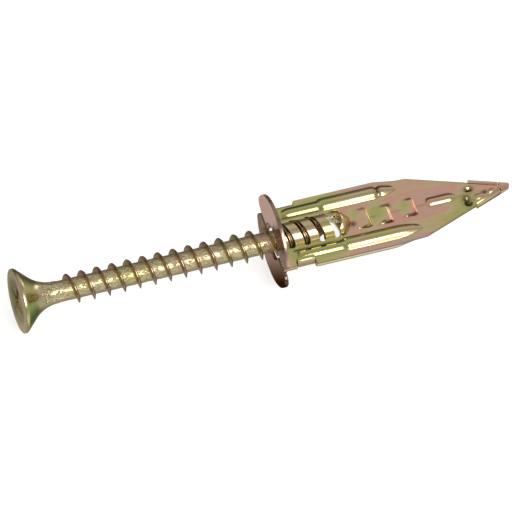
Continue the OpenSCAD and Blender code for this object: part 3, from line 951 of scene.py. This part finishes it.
def sheet_film(x, y):
    """Thickness of a leaf's plating: green at the nut, beads, teeth and tip, rose between."""
    film = 0.22 + 0.40 * (1 - step_up(x, 7.5, 3)) * step_up(x, -0.2, 0.6) - 0.16 * (x < -0.25)
    film = film + 0.62 * spot(x, y, GREEN_TEETH)
    film = film + 0.42 * np.exp(-((x - 24.4) / 1.7) ** 2) * step_up(-y, -0.5, 2.5)
    film = film + 0.3 * np.exp(-((x - 25.2) / 1.2) ** 2)
    film = film + 0.3 * (1 - step_up(np.abs(np.abs(y) - BEAD_Y), 0.9, 0.5)) * step_up(x, 0.5, 1)
    film = film - 0.25 * step_up(np.abs(y), 4.3, 0.5) * step_up(x, 6, 8)
    film = film + 0.06 * spot(x, y, TOOTH_EDGES) + 0.3 * spot(x, y, GREEN_TIP_BEAD)
    return film - 0.42 * spot(x, y, ROSE_TAB) - 0.22 * spot(x, y, ROSE_NUT)


def sheet_painted_shade(x, y, z, cut):
    """Painted shade on a leaf: at the feet of raised forms, at the teeth's ends, in the crease and dimples,
    on the slots' sides and over the collar's face.
    """
    dark = 0.9 * spot(x, y, SHADED_CORNERS)
    for tooth_x, low_y, _ in TEETH:
        end = np.exp(-((y - low_y - 0.03) / 0.14) ** 2)
        dark = np.maximum(dark, 0.8 * end * step_up(x, tooth_x - 1.5, 0.5) * (x < tooth_x))
    # painted shade along the far foot of each bead
    for middle_y, (step_x, end_x) in ((-BEAD_Y, LONG_BEAD), (BEAD_Y, SHORT_BEAD)):
        radius = bead_radius(x, step_x, end_x)
        line = foot_line(y, middle_y, radius, 0.15) * step_up(radius, SHEET, 0.15)
        dark = np.maximum(dark, 0.93 * line)
    radius = tip_bead_radius(x)
    line = foot_line(y, 0, radius, 0.12) * (radius > math.hypot(SHEET, 0.1))
    dark = np.maximum(dark, 0.75 * line)
    # painted shade along the crease beside the half-tube
    crease = np.exp(-((np.abs(y) - CREASE_Y) / 0.20) ** 2)
    crease = crease * step_up(x, 1.3, 0.5) * (1 - step_up(x, 6.2, 1.2))
    dark = np.maximum(dark, 0.72 * crease)
    dark = dark * step_up(z, SHEET * 0.8, 0.05)
    dark = np.maximum(dark, 0.95 * spot(x, y, SHADED_DIMPLES) * (z > 0.02))
    # painted shade on the slots' cut sides and over the collar's face
    dark = np.maximum(dark, 0.55 * cut * (np.abs(y) < THREAD_R + 0.3) * (x < WINDOW_END - 2))
    return np.maximum(dark, 0.42 * (x < -0.2) * step_up(-y, 0.0, 3.0) * (z > BEND_OUT))


def sheet_marks(points, cut):
    """The marks of a leaf, drawn as the upper one."""
    x, y, z = points.T
    # bore paints a cream light on the inside of the nut
    inside = (np.hypot(y, z) < nut_radius(x, BORE_END) - 0.3) * (x > 0.4)
    return {
        "cut_edge": cut * (x > BEND_OUT), "film": sheet_film(x, y), "dark": sheet_painted_shade(x, y, z, cut),
        "bore": 0.8 * inside, "pitted": 0 * x,
    }


def collar_shade(points):
    """Painted shade on the face of the lower collar half, deeper towards its near rim."""
    x, y, z = points.T
    return (x < 0.05) * (0.30 + 0.56 * step_up(0.79 * y + 0.61 * z, 1.2, 4.6)) * (z > BEND_OUT / 2)


def screw_marks(points, root):
    """The marks of the screw: thin on the crests outside the nut, thick on the cone, pitted root."""
    x, y, z = points.T
    along, off = x - HEAD_X, np.hypot(y, z)
    crest = (off > ROOT_R + 0.2) * (along > 5)
    flat = along < 0.12
    film = 0.46 + 0.5 * np.exp(-((along - 1.3) / 0.9) ** 2) - 0.22 * step_up(y, -0.6, 1.2)
    film = film - 0.2 * step_up(x, -5, 4) - 0.2 * np.exp(-((along - 5.6) / 0.8) ** 2)
    film = film - 0.25 * step_up(-z, 0.2, 1.5) * step_up(along, 2.0, 1.0) * (1 - step_up(along, 4.5, 1.0))
    film = np.where(crest, 0.08 + 0.6 * step_up(x, -9, 4), film)
    # dark paints shade on the thread, more on the far side, and on the head's flat, most in its middle round
    # the recess
    dark = 0.32 * crest + 0.12 * step_up(y, -0.6, 1.2) + flat * (0.12 + 0.20 * (off < 2.9))
    pitted = np.where(crest, 0, np.maximum(root, step_up(along, 2.4, 0.8)))
    pitted = np.where(flat, 0.05 + 0.2 * (off < 3.2), pitted)
    return {
        "cut_edge": root, "film": np.where(flat, 0.34, film), "dark": dark, "bore": 0 * x,
        "pitted": pitted,
    }


# ---- the object ----

def half_turn(points):
    """Turn over about the screw's axis, as the lower leaf lies."""
    return points * np.array([1, -1, -1])


def upper_leaf():
    points, faces, cut = leaf_shells(CREST_X)
    marks = sheet_marks(points, cut)
    new_piece(
        "upper_leaf_pressing", "anchor", "upper_leaf", sheet_zinc, points, faces, marks
    )


def lower_leaf():
    """The leaf turned over: slots half a pitch back, a painted cream highlight on its sheared edges past the
    tab, painted shade on its collar.
    """
    points, faces, cut = leaf_shells(CREST_X - PITCH / 2)
    marks = sheet_marks(points, cut)
    # painted cream highlight on the sheared edges past the tab
    marks["bore"] = np.maximum(marks["bore"], cut * (points[:, 0] > TAB_X + TAB_LEN))
    marks["cut_edge"] = 0 * cut
    # painted shade on the lower collar half
    marks["dark"] = np.maximum(marks["dark"], collar_shade(points))
    new_piece(
        "lower_leaf_pressing", "anchor", "lower_leaf", sheet_zinc, half_turn(points), faces,
        marks,
    )


def screw():
    points, faces, root = joined(head(), shank())
    marks = screw_marks(points, root)
    new_piece("rolled_screw", "screw", "screw", screw_zinc, points, faces, marks)


# ---- floor, light and camera ----

def studio_floor():
    """A flat floor that touches the collar's rim and the head's rim, on which the anchor rests."""
    collar_x = -SHEET / 2
    slope = (COLLAR_R - HEAD_R) / (collar_x - HEAD_X)
    half = 1500
    corners = np.array([[-half, -half], [half, -half], [half, half], [-half, half]], float)
    height = -COLLAR_R - slope * (corners[:, 0] - collar_x)
    mesh = bpy.data.meshes.new("studio_floor")
    mesh.from_pydata(np.column_stack([corners, height]) * MM, [], [(0, 1, 2, 3)])
    material = bpy.data.materials.new("matt_white_board")
    material.use_nodes = True
    shader = material.node_tree.nodes["Principled BSDF"]
    shader.inputs["Base Color"].default_value = colour(0.80, 0.80, 0.80)
    shader.inputs["Roughness"].default_value = 0.9
    shader.inputs["Emission Color"].default_value = WHITE
    shader.inputs["Emission Strength"].default_value = 0.66
    mesh.materials.append(material)
    floor = bpy.data.objects.new("studio_floor", mesh)
    bpy.context.scene.collection.objects.link(floor)
    floor.visible_glossy = False


def softbox(name, place, size, watts, tint=(1.0, 1.0, 1.0)):
    """An area light at a place in metres, turned to the object's middle."""
    lamp = bpy.data.lights.new(name, "AREA")
    lamp.shape = "RECTANGLE"
    lamp.size, lamp.size_y = size
    lamp.energy = watts
    lamp.color = tint
    light = bpy.data.objects.new(name, lamp)
    light.location = place
    light.rotation_mode = "QUATERNION"
    light.rotation_quaternion = (-Vector(place)).to_track_quat("-Z", "Y")
    bpy.context.scene.collection.objects.link(light)


# the room's brightness from opposite the lamp's side, at 0, to the lamp's side, at 1
ROOM_LEVELS = (
    (0.0, 0.58), (0.12, 0.24), (0.26, 0.07), (0.38, 0.20), (0.48, 0.48), (0.72, 0.56), (0.84, 0.34),
    (0.96, 0.45),
)


def studio_room():
    """A pale room in soft bands about the lamp's direction, with a glow low on the near side."""
    world = bpy.data.worlds.new("studio")
    bpy.context.scene.world = world
    world.use_nodes = True
    nodes, links = world.node_tree.nodes, world.node_tree.links
    where = nodes.new("ShaderNodeTexCoord")

    def toward(direction):
        """Cosine of the angle between where the room is seen and a direction, as a node."""
        node = nodes.new("ShaderNodeVectorMath")
        node.operation = "DOT_PRODUCT"
        node.inputs[1].default_value = Vector(direction).normalized()
        links.new(where.outputs["Generated"], node.inputs[0])
        return node.outputs["Value"]

    share = nodes.new("ShaderNodeMapRange")
    share.inputs["From Min"].default_value = -1.0
    links.new(toward((0.216, -0.50, 0.84)), share.inputs["Value"])
    bands = nodes.new("ShaderNodeValToRGB")
    set_stops(bands.color_ramp, [(place, colour(level, level, level * 0.98)) for place, level in ROOM_LEVELS])
    links.new(share.outputs["Result"], bands.inputs["Fac"])
    glow = nodes.new("ShaderNodeMapRange")
    glow.interpolation_type = "SMOOTHSTEP"
    glow.inputs["From Min"].default_value, glow.inputs["From Max"].default_value = 0.4, 0.95
    glow.inputs["To Max"].default_value = 0.28
    links.new(toward((0.1, -0.70, -0.70)), glow.inputs["Value"])
    both = nodes.new("ShaderNodeVectorMath")
    links.new(bands.outputs["Color"], both.inputs[0])
    links.new(glow.outputs["Result"], both.inputs[1])
    links.new(both.outputs["Vector"], nodes["Background"].inputs["Color"])


def studio_camera():
    """A long lens on the object's near side, 53 degrees up and a little rolled."""
    data = bpy.data.cameras.new("camera")
    data.lens, data.sensor_width = 1000, 36
    data.clip_start, data.clip_end = 0.01, 20
    camera = bpy.data.objects.new("camera", data)
    toward = Vector((-0.2164, -0.560, 0.800)).normalized()
    middle = Vector((-3.08, -1.60, 0)) * MM
    width = 64.0 * MM
    distance = width / 2 / (data.sensor_width / 2 / data.lens)
    turn = (-toward).to_track_quat("-Z", "Y")
    roll = Matrix.Rotation(math.radians(3.95), 4, "Z")
    camera.matrix_world = Matrix.Translation(middle + toward * distance) @ turn.to_matrix().to_4x4() @ roll
    bpy.context.scene.collection.objects.link(camera)
    bpy.context.scene.camera = camera


upper_leaf()
lower_leaf()
screw()
studio_floor()
studio_room()
softbox("top_softbox", (0.13, -0.37, 0.45), (0.34, 0.34), 1.45)
softbox("side_softbox", (0.45, 0.30, 0.07), (0.16, 0.12), 0.10, (1.0, 0.94, 0.85))
studio_camera()
bpy.context.scene.view_settings.view_transform = "Standard"
